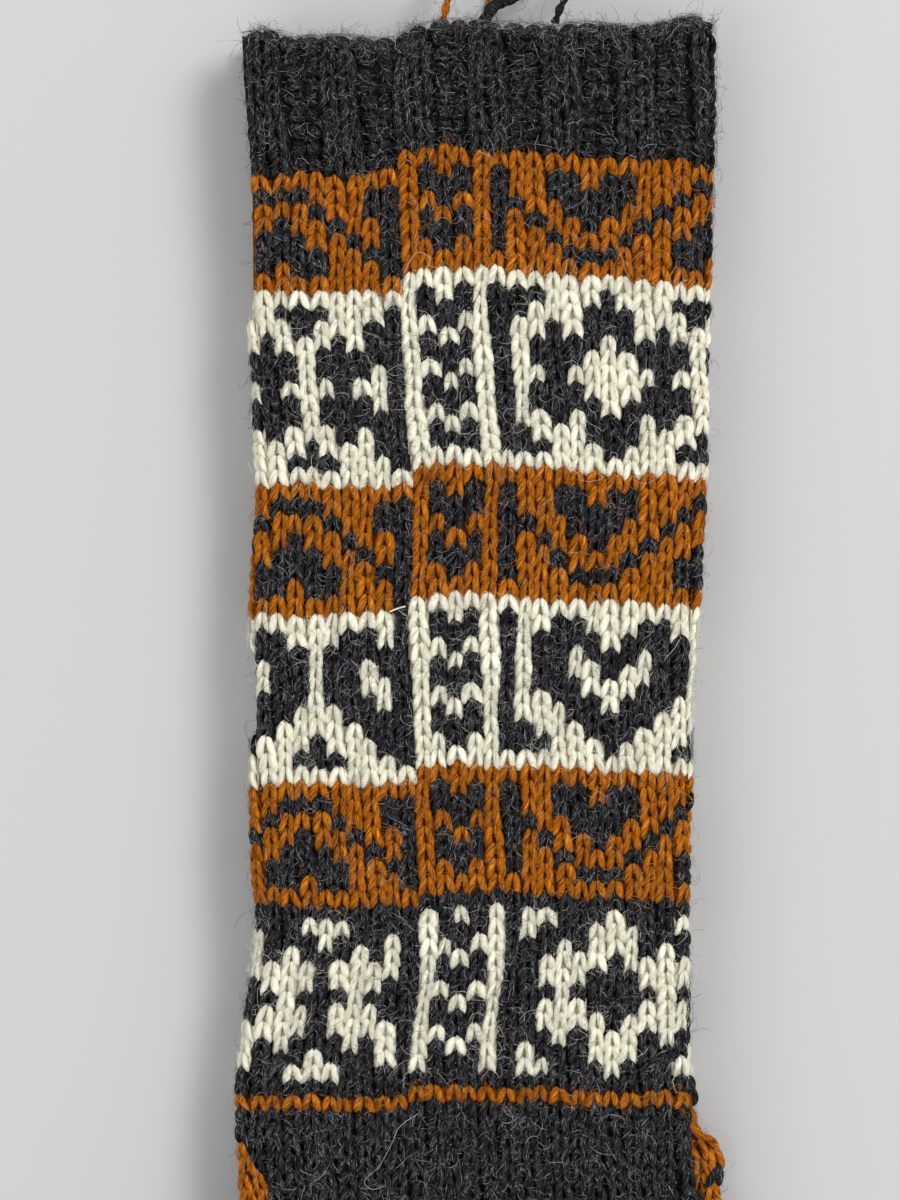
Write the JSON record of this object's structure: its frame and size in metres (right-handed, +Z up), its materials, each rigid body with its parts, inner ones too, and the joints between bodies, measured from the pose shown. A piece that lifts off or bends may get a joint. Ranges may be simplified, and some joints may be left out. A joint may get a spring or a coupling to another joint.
{
  "type": "knitted mittens",
  "caption": "Long-cuffed knitted wool mittens with stranded flower and heart bands, ribbed cuffs, thumb gussets and loose yarn tails, lying stacked.",
  "frame": {"origin": "centre of the box under the pair, on the surface it lies on", "axes": "+Y along the mittens from fingertips to cuffs, +X to the lower mitten's thumb, +Z up from the table"},
  "size_m": [0.1856, 0.4586, 0.0222],
  "materials": {
    "charcoal_wool": "heathered charcoal wool yarn, knitted, with a halo of loose fibres",
    "rust_wool": "rust orange wool yarn, knitted, softly fuzzy",
    "cream_wool": "undyed cream wool yarn, knitted, softly fuzzy"
  },
  "bodies": {
    "lower_mitten": {"lower_cast_on_edge": "charcoal_wool", "lower_ribbed_cuff": "charcoal_wool", "lower_rust_band_1": "rust_wool", "lower_flower_band": "cream_wool", "lower_rust_band_2": "rust_wool", "lower_heart_band": "cream_wool", "lower_rust_band_3": "rust_wool", "lower_dark_flower_band": "charcoal_wool", "lower_wrist_stripe": "rust_wool", "lower_hand": "charcoal_wool", "lower_fingertip": "charcoal_wool", "lower_thumb_gusset": "rust_wool"},
    "lower_thumb": {"lower_thumb": "rust_wool", "lower_thumb_tip": "charcoal_wool"},
    "upper_mitten": {"upper_cast_on_edge": "charcoal_wool", "upper_ribbed_cuff": "charcoal_wool", "upper_rust_band_1": "rust_wool", "upper_flower_band": "cream_wool", "upper_rust_band_2": "rust_wool", "upper_heart_band": "cream_wool", "upper_rust_band_3": "rust_wool", "upper_dark_flower_band": "charcoal_wool", "upper_wrist_stripe": "rust_wool", "upper_hand": "charcoal_wool", "upper_fingertip": "charcoal_wool", "upper_thumb_gusset": "rust_wool", "rust_tail": "rust_wool", "thick_tail": "charcoal_wool", "charcoal_tail": "charcoal_wool"},
    "upper_thumb": {"upper_thumb": "rust_wool", "upper_thumb_tip": "charcoal_wool"}
  },
  "joints": [
    {"name": "upper_lift", "type": "slide", "parent": "lower_mitten", "child": "upper_mitten", "axis": [0, 0, 1], "range_m": [0, 0.15]},
    {"name": "lower_thumb_swing", "type": "hinge", "parent": "lower_mitten", "child": "lower_thumb", "pos_m": [0.05475, -0.0765, 0.005], "axis": [0, 0, 1], "range_deg": [0, 30]},
    {"name": "upper_thumb_swing", "type": "hinge", "parent": "upper_mitten", "child": "upper_thumb", "pos_m": [-0.05475, -0.0765, 0.0158], "axis": [0, 0, -1], "range_deg": [0, 30]}
  ]
}
